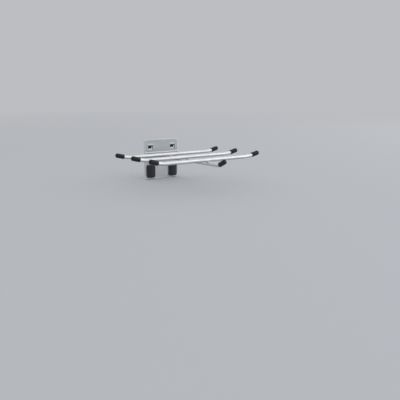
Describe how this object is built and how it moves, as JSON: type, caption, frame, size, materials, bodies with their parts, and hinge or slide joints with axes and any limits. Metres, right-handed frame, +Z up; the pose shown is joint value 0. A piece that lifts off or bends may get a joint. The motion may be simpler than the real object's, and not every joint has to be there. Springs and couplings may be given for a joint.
{
  "type": "pegboard tool holder",
  "caption": "Wall-hung steel tool holder: a hooked back plate, an outward arm with cross bars whose upturned ends wear black caps, and push-in plastic locks at the plate's foot.",
  "frame": {"origin": "centre of the back plate's rear face, which lies on the panel", "axes": "+X right along the panel, +Y into the panel, +Z up; the arm points out along -Y"},
  "size_m": [0.1744, 0.1692, 0.06],
  "materials": {
    "zinc_sheet": "satin zinc plating",
    "zinc_wire": "bright zinc plating",
    "weld_metal": "plated over weld flash",
    "cap_plastic": "satin moulded",
    "lock_plastic": "fine moulded grain"
  },
  "bodies": {
    "holder": {"back_plate": "zinc_sheet", "arm": "zinc_wire", "weld_root": "weld_metal", "cap_arm": "cap_plastic", "crossbar_rear": "zinc_wire", "weld_rear": "weld_metal", "cap_rear_left": "cap_plastic", "cap_rear_right": "cap_plastic", "crossbar_middle": "zinc_wire", "weld_middle": "weld_metal", "cap_middle_left": "cap_plastic", "cap_middle_right": "cap_plastic", "crossbar_front": "zinc_wire", "weld_front": "weld_metal", "cap_front_left": "cap_plastic", "cap_front_right": "cap_plastic"},
    "lock_left": {"lock_left": "lock_plastic"},
    "lock_right": {"lock_right": "lock_plastic"}
  },
  "joints": [
    {"name": "lock_left_slide", "type": "slide", "parent": "holder", "child": "lock_left", "axis": [0, -1, 0], "range_m": [0, 0.0046]},
    {"name": "lock_right_slide", "type": "slide", "parent": "holder", "child": "lock_right", "axis": [0, -1, 0], "range_m": [0, 0.0046]}
  ]
}
